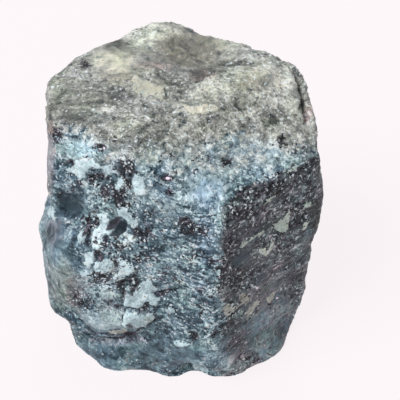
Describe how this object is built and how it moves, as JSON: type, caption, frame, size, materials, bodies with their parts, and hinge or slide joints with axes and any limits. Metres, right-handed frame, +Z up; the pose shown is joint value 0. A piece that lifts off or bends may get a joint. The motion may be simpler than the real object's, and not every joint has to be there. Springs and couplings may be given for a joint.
{
  "type": "rough sapphire crystal",
  "caption": "Stubby six-sided rough crystal with a broad sloping top, worn edges, a low overgrowth bulging from one lower corner and a flat broken base it stands on.",
  "frame": {"origin": "centre of the bounding box, at the flat base", "axes": "+Z up along the crystal's long axis; -Y to the front, where the broad blue prism face looks out a little to the left; +X to the right of the front"},
  "size_m": [0.0402, 0.0364, 0.043],
  "materials": {
    "corundum": "natural rough crystal surface, grey-blue and olive grey, weakly glossy, with dark flecks and pale grains"
  },
  "bodies": {
    "root": {"sapphire_crystal": "corundum"}
  },
  "joints": []
}
